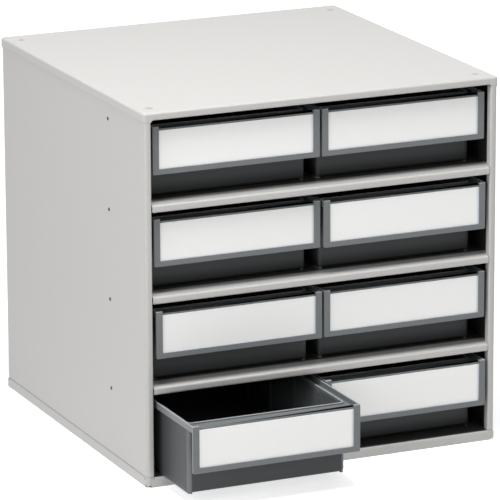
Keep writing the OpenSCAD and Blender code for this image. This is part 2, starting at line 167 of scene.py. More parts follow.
class BinSizes(bpy.types.PropertyGroup):
    """Moulded bin with a hanging label front"""

    wall: length("Wall", "Wall thickness", 2.0)
    rim: length("Rim", "Distance from the body's outside to the rim's outside", 5.3)
    rim_wall: length("Rim wall", "Thickness of the rim's ledge and border", 1.5)
    border: length("Border", "Height of the rim's upright border", 7.2)
    wall_drop: length("Wall drop", "Depth of the wall's top below the border", 3.8)
    upright_r: length("Upright corner", "Radius of the body's upright corners", 4.5)
    belly_r: length("Belly", "Radius along the body's lower side edges", 3.0)
    toe_r: length("Toe", "Radius along the body's lower front and rear edges", 3.2)
    runner: length("Runner", "Height of the runners that a bin stands on", 1.0)
    runner_w: length("Runner width", "Width of a runner", 4.0)
    runner_in: length("Runner inset", "Distance of the runners inside the body's outline", 0.6)
    edge: length("Edge", "Radius of an ordinary moulded edge", 0.45)
    wall_edge: length("Wall edge", "Radius of the edges of the body's top", 0.8)
    plate: length("Label front", "Height of the hanging label front", 50.0)
    plate_reach: length("Reach", "Distance from the label front's face to the body", 25.5)
    plate_corner: length("Front corner", "Radius of the label front's lower corners", 1.6)
    post: length("Post", "Width of the uprights beside the label", 7.0)
    bar: length("Bar", "Height of the bar under the label", 5.6)
    frame_wall: length("Frame", "Thickness in front of the card", 1.0)
    slot: length("Slot", "Width of the slot that holds the card", 0.9)
    backing: length("Backing", "Thickness of the plate behind the card", 1.5)
    slot_in: length("Slot depth", "Depth of the slot inside the uprights and the bar", 2.2)
    backing_drop: length("Backing drop", "Depth of the backing's top below the border", 2.6)
    divider_slots: count("Divider slots", "Divider slots along each side wall", 5)
    slot_pitch: length("Slot pitch", "Distance between divider slots", 60.0)
    slot_gap: length("Slot gap", "Clear width of a divider slot", 2.4)
    rib: length("Rib", "Thickness of the ribs beside a divider slot", 1.4)
    rib_in: length("Rib depth", "How far the ribs stand in from the wall", 1.6)
    rib_drop: length("Rib drop", "Distance from the wall's top to the ribs' top", 5.0)
    lug: length("Lug", "Height of the stop lugs", 12.0)
    lug_wall: length("Lug wall", "Thickness of a stop lug", 4.0)


class FasteningSizes(bpy.types.PropertyGroup):
    """Stop pins in the sides and rivets in the back"""

    pin_head: length("Pin head", "Radius of a stop pin's head outside", 2.0)
    pin_shank: length("Pin shank", "Radius of a stop pin's shank and tip", 1.3)
    pin_collar: length("Pin collar", "Radius of a stop pin's collar inside", 3.0)
    pin_tip: length("Pin tip", "Length of a stop pin's tip beyond its collar", 3.6)
    pin_edge: length("Pin edge", "Softness of the head's and collar's edges", 0.3)
    rivet_shank: length("Rivet shank", "Radius of a rivet's shank", 1.6)
    rivets: count("Rivets", "Rivets down each side of the back", 5)


class Finishes(bpy.types.PropertyGroup):
    """Colours of the enamel, plastic, card and steel"""

    enamel: colour("Enamel", "Light grey powder coat", (0.495, 0.488, 0.475))
    # Painted shade: this dark colour inside the cabinet stands in for the shade deep in the bays.
    bay_shade: colour("Enamel inside", "Darker coat that makes the bays look deep", (0.036, 0.035, 0.034))
    plastic: colour("Plastic", "Mid grey of the bins' fine-grained fronts and rims", (0.170, 0.182, 0.186))
    # Painted shade: the bins' bodies take this darker grey to stand in for the shade they sit in; their
    # fronts and rims keep the plastic's grey.
    tub: colour("Tub", "Darker grey that makes the bins' bodies stand back", (0.061, 0.065, 0.0675))
    # Painted highlight: this paler grey on the top edges of the bins' walls and borders stands in for light
    # caught on them.
    edges: colour("Edges", "Paler grey of the bins' thin top edges", (0.34, 0.36, 0.37))
    card: colour("Card", "White label card", (0.915, 0.915, 0.905))
    card_edge: colour("Card edge", "Cooler white near the card's foot", (0.86, 0.90, 0.97))
    card_shade: colour("Card shade", "Grey where the card curls back at its right edge", (0.60, 0.65, 0.70))
    steel: colour("Zinc", "Zinc plated steel", (0.62, 0.62, 0.60))
    oxide: colour("Black oxide", "Blackened steel of the stop pins", (0.030, 0.030, 0.032))
    enamel_gloss: share("Enamel roughness", "Roughness of the powder coat", 0.42)
    plastic_gloss: share("Plastic roughness", "Roughness of the moulded plastic", 0.34)


class StudioSetup(bpy.types.PropertyGroup):
    """Camera, lamps and floor"""

    azimuth: angle("Azimuth", "Camera's angle round the cabinet, seen from above", -23.96)
    elevation: angle("Elevation", "Camera's angle above the horizon", 14.93)
    roll: angle("Roll", "Camera's roll", -0.245)
    distance: length("Distance", "Distance from the camera to the cabinet's centre", 4649.0)
    lens: number("Lens", "Focal length for a 36 mm sensor", 312.0, min=1.0, unit="CAMERA")
    aim_right: length("Aim right", "How far right of the cabinet's centre the camera aims", 5.3)
    aim_down: length("Aim down", "How far below the cabinet's centre the camera aims", 14.8)
    bounce: share("Bounce", "Strength of the even light from the floor", 0.56)
    floor: colour("Floor", "How much of the lamps' light the floor throws back", (0.40, 0.40, 0.40))
    key: power("Key", "Lamp high above the front", 43.0)
    left: power("Left", "Large lamp on the left, towards the front", 13.5)
    front: power("Front", "Large weak lamp in front", 5.0)
    overhead: power("Overhead", "Large weak lamp straight above", 8.0)


# --------------------------------------------------------------------- outlines


def rectangle(left, low, right, high, radius):
    """Corners (u, v, radius) of a rectangle, anticlockwise from its lower left."""
    return [(left, low, radius), (right, low, radius), (right, high, radius), (left, high, radius)]


def fillet(corners, steps=8):
    """Closed outline through corners (u, v, radius), each rounded with an arc."""
    points = []
    for i, (u, v, radius) in enumerate(corners):
        here = Vector((u, v))
        if radius <= 0:
            points.append(here)
            continue
        back = (Vector(corners[i - 1][:2]) - here).normalized()
        on = (Vector(corners[(i + 1) % len(corners)][:2]) - here).normalized()
        half = back.angle(on) / 2
        centre = here + (back + on).normalized() * radius / math.sin(half)
        start = here + back * radius / math.tan(half) - centre
        turn = math.copysign(math.pi - 2 * half, -back.x * on.y + back.y * on.x)
        points += [centre + Matrix.Rotation(turn * k / steps, 2) @ start for k in range(steps + 1)]
    return points


def strip(path, bends, thickness):
    """Corners of a strip of sheet folded along path; bends are the folds' centreline radii."""
    path = [Vector(p) for p in path]
    ways = [(b - a).normalized() for a, b in zip(path, path[1:])]
    normals = [Vector((-w.y, w.x)) for w in ways]
    left, right = [], []
    for i, p in enumerate(path):
        first, second = normals[max(i - 1, 0)], normals[min(i, len(normals) - 1)]
        mitre = (first + second) / (1 + first.dot(second)) * thickness / 2
        if 0 < i < len(path) - 1:
            turn = math.copysign(1, ways[i - 1].cross(ways[i]))
            left_r = bends[i - 1] - turn * thickness / 2
            right_r = bends[i - 1] + turn * thickness / 2
        else:
            left_r = right_r = 0
        left.append((*(p + mitre), left_r))
        right.append((*(p - mitre), right_r))
    return right + left[::-1]


def inset(outline, amount):
    """The anticlockwise outline moved inwards by amount."""
    points = []
    for i, p in enumerate(outline):
        way_in = (p - outline[i - 1]).normalized()
        way_out = (outline[(i + 1) % len(outline)] - p).normalized()
        first, second = Vector((-way_in.y, way_in.x)), Vector((-way_out.y, way_out.x))
        points.append(p + (first + second) / (1 + first.dot(second)) * amount)
    return points


def quarter(radius, steps=4):
    """(inset, drop) along a quarter-round edge, from the side face to the end face."""
    turns = [math.pi / 2 * k / steps for k in range(steps + 1)]
    return [(radius * (1 - math.cos(t)), radius * (1 - math.sin(t))) for t in turns]


# ----------------------------------------------------------------------- solids


def along_x(u, v, level):
    return level, u, v


def along_y(u, v, level):
    return u, level, v


def along_z(u, v, level):
    return u, v, level


def flat_ring(corners, level):
    """The rounded outline through corners (x, y, radius), lying at that level."""
    return [along_z(p.x, p.y, level) for p in fillet(corners)]


def skin(rings, closed=False):
    """A solid through rings of equally many points, capped at both ends unless closed."""
    bm = bmesh.new()
    rows = [[bm.verts.new(p) for p in ring] for ring in rings]
    pairs = list(zip(rows, rows[1:]))
    if closed:
        pairs.append((rows[-1], rows[0]))
    else:
        bm.faces.new(rows[0])
        bm.faces.new(rows[-1])
    for low, high in pairs:
        for i in range(len(low)):
            bm.faces.new((low[i - 1], low[i], high[i], high[i - 1]))
    bmesh.ops.recalc_face_normals(bm, faces=bm.faces)
    return as_mesh(bm)


def as_mesh(bm):
    mesh = bpy.data.meshes.new("solid")
    bm.to_mesh(mesh)
    bm.free()
    return mesh


def carried(outline, levels, place):
    """A solid through the outline, moved in by each amount at its level; levels are (amount, level) pairs."""
    return skin([[place(p.x, p.y, level) for p in inset(outline, amount)] for amount, level in levels])


def prism(corners, low, high, place, soft=0.0, steps=8):
    """An outline carried from low to high, with its end edges rounded to radius soft."""
    outline = fillet(corners, steps)
    levels = [(0.0, low), (0.0, high)]
    if soft > 0:
        ends = quarter(soft)
        levels = [(i, low + d) for i, d in reversed(ends)] + [(i, high - d) for i, d in ends]
    return carried(outline, levels, place)


def flared(corners, face, depth, place, soft):
    """A cutter from outside face to depth that leaves the cut's edge at face rounded."""
    way = math.copysign(1, depth - face)
    edge = [(soft - i, face + way * (soft - d)) for i, d in quarter(soft)]
    levels = [(-soft, face - way * soft)] + [(-i, at) for i, at in edge] + [(0.0, depth)]
    return carried(fillet(corners), levels, place)


def lathe(profile, place, steps=40):
    """A solid turned from (radius, level) pairs about the axis that place runs along."""
    turns = [2 * math.pi * k / steps for k in range(steps)]
    return skin([[place(r * math.cos(t), r * math.sin(t), level) for t in turns] for r, level in profile])


def moved(mesh, x=0.0, y=0.0, z=0.0):
    """A copy of the mesh at another place."""
    copy = mesh.copy()
    copy.transform(Matrix.Translation((x, y, z)))
    return copy


def mirrored(mesh):
    """A copy of the mesh on the other side of x = 0."""
    copy = mesh.copy()
    copy.transform(Matrix.Scale(-1, 4, (1, 0, 0)))
    copy.flip_normals()
    return copy


def gathered(meshes):
    """One mesh of several solids that don't touch."""
    bm = bmesh.new()
    for mesh in meshes:
        bm.from_mesh(mesh)
    return as_mesh(bm)


def combined(mesh, operation, *tools):
    """The mesh joined with, cut by or limited to each tool in turn."""
    target = bpy.data.objects.new("target", mesh)
    helpers = [bpy.data.objects.new("tool", tool) for tool in tools]
    for thing in [target, *helpers]:
        bpy.context.scene.collection.objects.link(thing)
    for helper in helpers:
        step = target.modifiers.new("step", "BOOLEAN")
        step.operation = operation
        step.solver = "MANIFOLD"
        step.object = helper
    shaped = target.evaluated_get(bpy.context.evaluated_depsgraph_get())
    result = bpy.data.meshes.new_from_object(shaped)
    for thing in [target, *helpers]:
        bpy.data.objects.remove(thing)
    return result


def finished(mesh, name):
    """The mesh under that name: no doubled points, flat faces whole, smooth but for its creases."""
    bm = bmesh.new()
    bm.from_mesh(mesh)
    bmesh.ops.remove_doubles(bm, verts=bm.verts, dist=WELD)
    bmesh.ops.dissolve_limit(
        bm, angle_limit=FLAT, use_dissolve_boundaries=False, verts=bm.verts, edges=bm.edges
    )
    done = as_mesh(bm)
    done.name = name
    done.shade_smooth()
    done.set_sharp_from_angle(angle=CREASE)
    if not done.polygons:
        raise RuntimeError(f"{name} came out empty")
    return done


# -------------------------------------------------------------------- materials


class Nodes:
    """The node tree of a material or of the world, with short ways to add and link its nodes."""

    def __init__(self, owner):
        owner.use_nodes = True
        self.owner = owner
        self.tree = owner.node_tree
        self.tree.nodes.clear()

    def add(self, kind, inputs=None, **settings):
        node = self.tree.nodes.new("ShaderNode" + kind)
        for key, value in settings.items():
            setattr(node, key, value)
        for key, value in (inputs or {}).items():
            self.set(node, key, value)
        return node

    def set(self, node, key, value):
        """Links value to the input if it is another node's output, or else writes it there."""
        if isinstance(value, bpy.types.NodeSocket):
            self.tree.links.new(value, node.inputs[key])
        else:
            node.inputs[key].default_value = value

    def output(self, kind, shader):
        """Ends the tree with that shader, and returns what the tree belongs to."""
        self.add("Output" + kind, {"Surface": shader.outputs[0]})
        return self.owner

    def math(self, operation, *values):
        node = self.add("Math", operation=operation)
        for i, value in enumerate(values):
            self.set(node, i, value)
        return node.outputs[0]

    def product(self, *values):
        return functools.reduce(functools.partial(self.math, "MULTIPLY"), values)

    def most(self, *values):
        return functools.reduce(functools.partial(self.math, "MAXIMUM"), values)

    def at(self):
        """The piece's own X, Y and Z in metres."""
        return self.add("SeparateXYZ", {"Vector": self.add("TexCoord").outputs["Object"]}).outputs

    def place(self, stretch=(1.0, 1.0, 1.0)):
        """Points on the piece in metres, shifted differently on every piece."""
        where = self.add("TexCoord").outputs["Object"]
        shift = self.math("MULTIPLY", self.add("ObjectInfo").outputs["Random"], NOISE_SHIFT)
        shifted = {"Vector": where, "Location": self.spread(shift), "Scale": stretch}
        return self.add("Mapping", shifted).outputs[0]

    def spread(self, value):
        return self.add("CombineXYZ", {"X": value, "Y": value, "Z": value}).outputs[0]

    def noise(self, where, cell, detail=2.0, roughness=0.5):
        """Noise whose spots are about cell metres across."""
        return self.add(
            "TexNoise", {"Vector": where, "Scale": 1 / cell, "Detail": detail, "Roughness": roughness}
        ).outputs["Fac"]

    def between(self, factor, low, high):
        """A value from low to high as factor goes from 0 to 1."""
        return self.add("MapRange", {"Value": factor, "To Min": low, "To Max": high}).outputs[0]

    def ramp(self, value, start, end, smooth=False):
        """0 up to start and 1 from end on, with an even or a smooth change between them."""
        node = self.add("MapRange", {"Value": value, "From Min": start, "From Max": end})
        if smooth:
            node.interpolation_type = "SMOOTHSTEP"
        return node.outputs[0]

    def line(self, value, middle, half, core, smooth=False):
        """1 where value is within core of middle, fading to 0 at half from it."""
        return self.ramp(self.math("ABSOLUTE", self.math("SUBTRACT", value, middle)), half, core, smooth)

    def inside(self, cabinet, depth):
        """1 on the faces that look into the cabinet further in than depth, and 0 outside."""
        at, sheet = self.at(), cabinet.sheet.thickness
        return self.product(
            self.ramp(self.math("ABSOLUTE", at["X"]), cabinet.side_in + 0.6 * sheet, cabinet.side_in),
            self.ramp(at["Y"], cabinet.front + depth, cabinet.front + 1.2 * depth),
            self.ramp(at["Y"], cabinet.back_in + 0.6 * sheet, cabinet.back_in),
            self.ramp(at["Z"], cabinet.base - 0.6 * sheet, cabinet.base),
            self.ramp(at["Z"], cabinet.top - 0.4 * sheet, cabinet.top - sheet),
        )

    def seen(self):
        """1 for what the eye, a reflection or a clear body sees, and 0 for light that is only given off."""
        path = self.add("LightPath").outputs
        return self.most(path["Is Camera Ray"], path["Is Glossy Ray"], path["Is Transmission Ray"])

    def scaled(self, rgb, factor):
        return self.add("VectorMath", {0: rgb, 1: self.spread(factor)}, operation="MULTIPLY").outputs[0]

    def tint(self, factor, first, second):
        node = self.add("Mix", data_type="RGBA")
        for key, value in ((0, factor), (6, first), (7, second)):
            self.set(node, key, value)
        return node.outputs[2]

    def bump(self, height, depth, before=None):
        node = self.add("Bump", {"Height": height, "Distance": depth, "Strength": 1.0})
        if before:
            self.set(node, "Normal", before)
        return node.outputs[0]

    def surface(self, **inputs):
        shader = self.add("BsdfPrincipled", {key.replace("_", " "): value for key, value in inputs.items()})
        return self.output("Material", shader)


def material(name):
    return bpy.data.materials.get(name) or bpy.data.materials.new(name)


def shade(rgb, factor=1.0):
    """The colour made lighter or darker, as RGBA."""
    return (*(min(1.0, c * factor) for c in rgb), 1.0)


def enamel(finishes, name, cabinet, depth):
    """Powder coat with a fine orange peel, and painted shade inside the cabinet so that the bays look deep.

    It keeps its colour as far in as depth. Painted shade draws a dark line at the seam above the base, and a
    faint one at the lower edge of the top's skirt."""
    n = Nodes(material(name))
    where = n.place()
    level = n.at()["Z"]
    clouds = n.noise(where, 90 * MM, detail=3)
    peel = n.noise(where, 1.3 * MM, detail=1)
    grit = n.noise(where, 0.35 * MM, detail=1)
    # Painted shade: a dark line at the seam above the base and a faint one at the lower edge of the top's
    # skirt.
    seam = n.line(level, cabinet.base + 0.5 * MM, half=0.5 * MM, core=0.2 * MM)
    skirt_edge_shade = n.line(level, cabinet.stile_top + 0.5 * MM, half=1.6 * MM, core=0.3 * MM, smooth=True)
    base = n.tint(seam, shade(finishes.enamel), shade(finishes.enamel, SEAM_SHADE))
    base = n.scaled(base, n.between(skirt_edge_shade, 1.0, SKIRT_EDGE_SHADE))
    # Painted shade: further in than depth, the enamel turns to the dark colour that stands in for the bays'
    # shade.
    base = n.tint(n.inside(cabinet, depth), base, shade(finishes.bay_shade))
    base = n.scaled(base, n.product(n.between(clouds, 0.985, 1.015), n.between(grit, 1.01, 0.98)))
    gloss = finishes.enamel_gloss
    return n.surface(
        Base_Color=base,
        Roughness=n.between(clouds, gloss - 0.04, gloss + 0.04),
        Normal=n.bump(grit, 0.006 * MM, n.bump(peel, 0.02 * MM)),
    )


def plastic(finishes, b, name, corner_highlight, foot_shade):
    """Moulded plastic: fine-grained on bin b's label front, rim and runners, and darker with painted shade on
    its body.

    The last two set the painted highlight on the body's front corners and the painted shade at its foot."""
    n = Nodes(material(name))
    s, where, at = b.sizes, n.place(), n.at()
    across = n.math("ABSOLUTE", at["X"])
    blur = 0.3 * MM

    def within(start, end):
        """0 up to start and 1 from end on, both distances inwards from the body's sides and front."""
        return n.product(
            n.ramp(across, b.body_half - start, b.body_half - end),
            n.ramp(at["Y"], s.plate_reach + start, s.plate_reach + end))

    # Painted highlight: the rounded front corners of the body are made paler, on the highlighted bin in full
    # and on the others faintly.
    corner = within(s.upright_r, 0.7 * s.upright_r)
    lining = n.product(within(blur, s.wall), n.ramp(at["Z"], s.runner + blur, s.runner + s.wall))
    # Painted shade: the body keeps the darker tub grey, which stands in for shade, while the label front,
    # rim, runners and, by half, the inside take the plastic's grey; the same mask makes them finer-grained
    # and glossier.
    unshaded_and_grained = n.most(
        n.product(corner, corner_highlight),
        n.product(lining, LINING_PALE),
        n.ramp(at["Y"], b.plate_t + blur, b.plate_t),
        n.ramp(at["Z"], b.lip - blur, b.lip),
        n.ramp(at["Z"], s.runner + blur, s.runner),
    )
    # Painted highlight: the rounded top of the body's wall and the top of the rim's border are made paler.
    wall_edge = n.ramp(at["Z"], b.wall_top - s.wall_edge, b.wall_top - blur)
    border_edge = n.ramp(at["Z"], b.h - s.edge - blur, b.h - s.edge)
    thin = n.most(n.product(within(-blur, 0.0), wall_edge), border_edge)
    # Painted shade: the body darkens downwards towards its shelf.
    foot = n.ramp(at["Z"], *FOOT_SHADE_FROM_TO, smooth=True)
    clouds = n.noise(where, 60 * MM, detail=2)
    grain = n.noise(where, 0.6 * MM, detail=1)
    streaks = n.noise(n.place(stretch=(1.0, 0.04, 1.0)), 6 * MM, detail=1)
    base = n.tint(n.product(foot, foot_shade), shade(finishes.tub), (0.0, 0.0, 0.0, 1.0))
    base = n.tint(unshaded_and_grained, base, shade(finishes.plastic))
    base = n.tint(thin, base, shade(finishes.edges))
    base = n.scaled(base, n.product(n.between(clouds, 0.96, 1.04), n.between(streaks, 0.97, 1.03)))
    gloss = n.between(unshaded_and_grained, finishes.plastic_gloss + BODY_DULL, finishes.plastic_gloss)
    return n.surface(
        Base_Color=base,
        Roughness=n.math("ADD", n.between(clouds, -0.03, 0.03), gloss),
        IOR=1.47,
        Specular_IOR_Level=0.27,
        Normal=n.bump(grain, n.between(unshaded_and_grained, 0.001 * MM, 0.004 * MM)),
    )


def card(finishes, b):
    """White card with fine fibres, a little cooler at its foot and with painted shade where its right edge
    curls back.
    """
    n = Nodes(material("label_card"))
    where, at = n.place(), n.at()
    foot = n.ramp(at["Z"], b.window_foot + CARD_COOL, b.window_foot, smooth=True)
    # Painted shade: grey along the card's right edge, where it curls back.
    curl_shade = n.ramp(at["X"], b.window_half - CARD_CURL, b.window_half, smooth=True)
    fibres = n.noise(where, 0.5 * MM, detail=4, roughness=0.7)
    base = n.tint(n.between(fibres, 0.0, 0.5), shade(finishes.card), shade(finishes.card, 0.985))
    base = n.tint(foot, base, shade(finishes.card_edge))
    base = n.tint(curl_shade, base, shade(finishes.card_shade))
    return n.surface(Base_Color=base, Roughness=0.55, IOR=1.45, Normal=n.bump(fibres, 0.008 * MM))


def metal(name, base, roughness, shine):
    """Plated or blackened steel with fine turning marks."""
    n = Nodes(material(name))
    where = n.place()
    marks = n.noise(where, 0.25 * MM, detail=3)
    patches = n.noise(where, 2.5 * MM, detail=2)
    return n.surface(
        Base_Color=n.tint(patches, shade(base, 0.85), shade(base, 1.15)),
        Metallic=shine,
        Roughness=n.between(patches, roughness - 0.06, roughness + 0.08),
        Normal=n.bump(marks, 0.004 * MM),
    )


# ----------------------------------------------------------------------- pieces


def add_piece(name, mesh, coat, slot, body, *nodes, at=(0.0, 0.0, 0.0)):
    """A finished piece that rides on body and stands for the CAD nodes named."""
    piece = bpy.data.objects.new(name, mesh)
    bpy.context.scene.collection.objects.link(piece)
    piece.location = at
    if coat.name not in mesh.materials:
        mesh.materials.append(coat)
    flat = piece.modifiers.new("even shading", "WEIGHTED_NORMAL")
    flat.keep_sharp = True
    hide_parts(*nodes)
    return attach(piece, body)


# --------------------------------------------------------------------- cabinet


class Cabinet:
    """Planes of the cabinet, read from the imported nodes, with the sheet's own sizes."""

    def __init__(self, sheet):
        base_low, base_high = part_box("base_pan")
        top_low, top_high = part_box("top_panel")
        side_low, side_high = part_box("left_side")
        self.sheet = sheet
        self.mid = sheet.thickness / 2
        self.half_w = base_high.x
        self.front = base_low.y
        self.rear = base_high.y
        self.base = base_high.z
        self.top = top_high.z
        self.skirt = top_high.z - top_low.z
        self.side_x = -side_low.x
        self.side_in = self.side_x - sheet.thickness
        self.stile_foot = side_low.z
        self.stile_top = self.top - self.skirt
        self.flange_top = side_high.z
        self.stile_in = self.half_w - sheet.stile
        self.stile_back = self.front + sheet.stile_return
        self.back_out = self.rear - sheet.thickness
        self.back_in = self.back_out - sheet.thickness
        self.wall_top = self.top - sheet.nose

    def cap(self, level, height, foot=0.0):
        """A soft-edged sheet cap whose top is at level, with a skirt and, if foot is set, a foot flange."""
        sheet = self.sheet
        t = sheet.thickness
        low = level - height
        outside = [(i, level - d) for i, d in reversed(quarter(sheet.nose, 8))]
        inside = [(t + i, level - t - d) for i, d in quarter(sheet.nose - t, 8)]
        if foot > 0:
            hem = [(i, low + d) for i, d in quarter(sheet.fold + self.mid, 6)]
            hem += [(foot, low), (foot, low + t)]
            hem += [(t + i, low + t + d) for i, d in reversed(quarter(sheet.fold - self.mid, 6))]
        else:
            edge = quarter(sheet.cut_edge)
            hem = [(i, low + d) for i, d in edge] + [(t - i, low + d) for i, d in reversed(edge)]
        return skin([self.ring(amount, z) for amount, z in outside + hem + inside])

    def ring(self, amount, level):
        """The cabinet's plan outline moved in by amount, at that level."""
        radius = max(self.sheet.corner - amount, SHARP_R)
        corners = rectangle(
            -self.half_w + amount, self.front + amount, self.half_w - amount, self.rear - amount, radius
        )
        return flat_ring(corners, level)

    def folded(self, path, bends, low, high, place):
        """A folded strip of the cabinet's sheet, carried from low to high."""
        return prism(strip(path, bends, self.sheet.thickness), low, high, place, self.sheet.cut_edge, steps=6)


def top_panel_mesh(c):
    """The top with its soft edges, a front lip between the stiles and four stacking dimples."""
    sheet = c.sheet
    step, half = c.skirt - sheet.top_lip, c.stile_in
    lip_z = c.top - sheet.top_lip
    lip_half = half - step
    below = c.top - 2 * c.skirt
    opening = [(-half, below, 0), (half, below, 0), (half, lip_z, step), (-half, lip_z, step)]
    seam = c.top - sheet.nose - OVER
    below_seam = rectangle(-lip_half, below, lip_half, seam, 0)
    face, sole = c.front + c.mid, lip_z + c.mid
    lip = c.folded(
        [(face, seam + OVER / 2), (face, sole), (c.front + sheet.lip_return, sole)],
        [sheet.fold], -lip_half, lip_half, along_x)
    cuts = [prism(cut, c.front - OVER, c.front + sheet.corner, along_y) for cut in (opening, below_seam)]
    cap = combined(c.cap(c.top, c.skirt), "DIFFERENCE", *cuts)
    places = [
        (side * (c.half_w - sheet.dimple_in_x), y)
        for side in (-1, 1) for y in (c.front + sheet.dimple_in_y, c.rear - sheet.dimple_in_y)
    ]
    radius, depth, soft = sheet.dimple, sheet.dimple_depth, sheet.dimple_edge
    under = c.top - sheet.thickness
    boss = lathe([(radius + sheet.thickness, z) for z in (under - depth, under + c.mid)], along_z)
    bowl = lathe(
        [(radius - 2 * soft, c.top - depth), (radius - soft, c.top - 0.8 * depth),
         (radius, c.top - 0.3 * depth), (radius + soft, c.top), (radius + soft, c.top + OVER)], along_z)
    whole = combined(cap, "UNION", lip, gathered([moved(boss, x, y) for x, y in places]))
    return combined(whole, "DIFFERENCE", gathered([moved(bowl, x, y) for x, y in places]))


def base_pan_mesh(c):
    """The skirted floor with its foot flange, notched under the stiles and rounded at its front corners."""
    sheet = c.sheet
    r = sheet.foot_corner
    notch = prism(
        rectangle(-c.half_w - OVER, c.front - OVER, -c.stile_in, c.stile_back + FIT_GAP, 0),
        c.stile_foot, c.base + OVER, along_z)

    def corner_waste(at):
        """What a corner that stands at that place loses to its rounding."""
        return [(at - OVER, -OVER, 0), (at + r + OVER, -OVER, 0), (at + r + OVER, 0, 0), (at, 0, r),
                (at, r + OVER, 0), (at - OVER, r + OVER, 0)]

    tools = [
        notch,
        prism(corner_waste(-c.half_w), c.front - OVER, c.front + r, along_y),
        prism(corner_waste(c.front), -c.half_w - OVER, -c.half_w + r, along_x),
    ]
    pan = c.cap(c.base, c.base, sheet.foot_flange)
    return combined(pan, "DIFFERENCE", *tools, *[mirrored(tool) for tool in tools])


def side_panel_mesh(c):
    """The left side: a sheet folded round the front stile and into flanges at the rear, top and foot."""
    sheet = c.sheet
    x_out, x_in = -c.side_x + c.mid, -c.stile_in - c.mid
    y_front, y_back = c.front + c.mid, c.back_in - c.mid
    wall = c.folded(
        [(x_in, c.stile_back), (x_in, y_front), (x_out, y_front), (x_out, y_back),
         (x_out + sheet.flange, y_back)],
        [sheet.fold, sheet.corner - c.mid, sheet.corner - 3 * c.mid], c.stile_foot, c.wall_top, along_z)
    foot = rectangle(c.stile_back, 0, c.rear, c.base, 0)
    foot[3] = (c.stile_back, c.base, c.base - c.stile_foot)
    head = rectangle(c.front - OVER, c.stile_top, c.stile_back, c.top, 0)
    cuts = [prism(cut, -c.half_w - OVER, -c.stile_in + sheet.flange, along_x) for cut in (foot, head)]
    flange_x, low, high = -c.side_x + sheet.flange, c.base + c.mid, c.flange_top - c.mid
    flanges = c.folded(
        [(flange_x, low), (x_out, low), (x_out, high), (flange_x, high)],
        [sheet.fold, sheet.fold], c.stile_back + sheet.flange / 2, c.rear - 3 * sheet.flange / 2, along_y)
    return combined(combined(wall, "DIFFERENCE", *cuts), "UNION", flanges)


def back_panel_mesh(c):
    """The flat back, which stops short of the rear corners."""
    half = c.half_w - c.sheet.corner
    corners = rectangle(-half, c.base, half, c.wall_top, BACK_CORNER)
    return prism(corners, c.back_in, c.back_out, along_y, c.sheet.cut_edge)


def shelf_mesh(c, top):
    """A shelf: its rolled front lip between the stiles, and flanges down its sides and rear."""
    sheet = c.sheet
    plate_z, lip_z, flange_z = top - c.mid, top - sheet.shelf_lip, top - sheet.flange
    plate_y = c.stile_back + FIT_GAP
    half = c.stile_in - sheet.lip_gap
    face, sole = c.front + c.mid, lip_z + c.mid
    lip = c.folded(
        [(c.front + sheet.lip_return, sole), (face, sole), (face, plate_z),
         (plate_y + sheet.flange, plate_z)],
        [sheet.fold, sheet.nose - c.mid], -half, half, along_x)
    r = sheet.lip_corner
    outline = [(-half, lip_z, r), (half, lip_z, r), (half, top + OVER, 0), (-half, top + OVER, 0)]
    lip = combined(lip, "INTERSECT", prism(outline, c.front - OVER, plate_y + 2 * sheet.flange, along_y))
    edge, back = c.side_in - c.mid, c.back_in - c.mid
    plate = c.folded(
        [(-edge, flange_z), (-edge, plate_z), (edge, plate_z), (edge, flange_z)],
        [sheet.fold, sheet.fold], plate_y, c.back_in - sheet.flange, along_y)
    rear = c.folded(
        [(c.back_in - 2 * sheet.flange, plate_z), (back, plate_z), (back, flange_z)],
        [sheet.fold], -c.side_in + sheet.flange, c.side_in - sheet.flange, along_x)
    return combined(plate, "UNION", lip, rear)


def stop_pin_mesh(c, sizes, low, high):
    """A shouldered pin on the left: low head outside, shank through the sheet, tip under the bin's rim."""
    head, shank, collar, soft = sizes.pin_head, sizes.pin_shank, sizes.pin_collar, sizes.pin_edge
    outside, inside, shoulder = -c.side_x, -c.side_in, high - sizes.pin_tip
    return lathe(
        [(0.45 * head, low), (0.8 * head, low + 0.2 * soft), (head, low + soft), (head, outside),
         (shank, outside), (shank, inside), (collar - soft, inside), (collar, inside + soft),
         (collar, shoulder - soft), (collar - soft, shoulder), (shank, shoulder), (shank, high - 0.4 * MM),
         (shank - 0.4 * MM, high)],
        along_x)


def rivet_mesh(c, shank):
    """A blind rivet from behind: domed flange with a sunk middle, shank and pressed inner end."""
    sheet_in, end = c.back_in - c.sheet.thickness, c.back_in - 2 * c.sheet.thickness
    dome = [(radius * MM, c.rear - drop * MM) for radius, drop in RIVET_DOME]
    return lathe(
        [*dome, (dome[-1][0], c.back_out), (shank, c.back_out), (shank, sheet_in), (1.5 * shank, sheet_in),
         (1.5 * shank - 0.1 * MM, end + 0.2 * MM), (1.5 * shank - 0.6 * MM, end)],
        along_y)


# ------------------------------------------------------------------------ bins


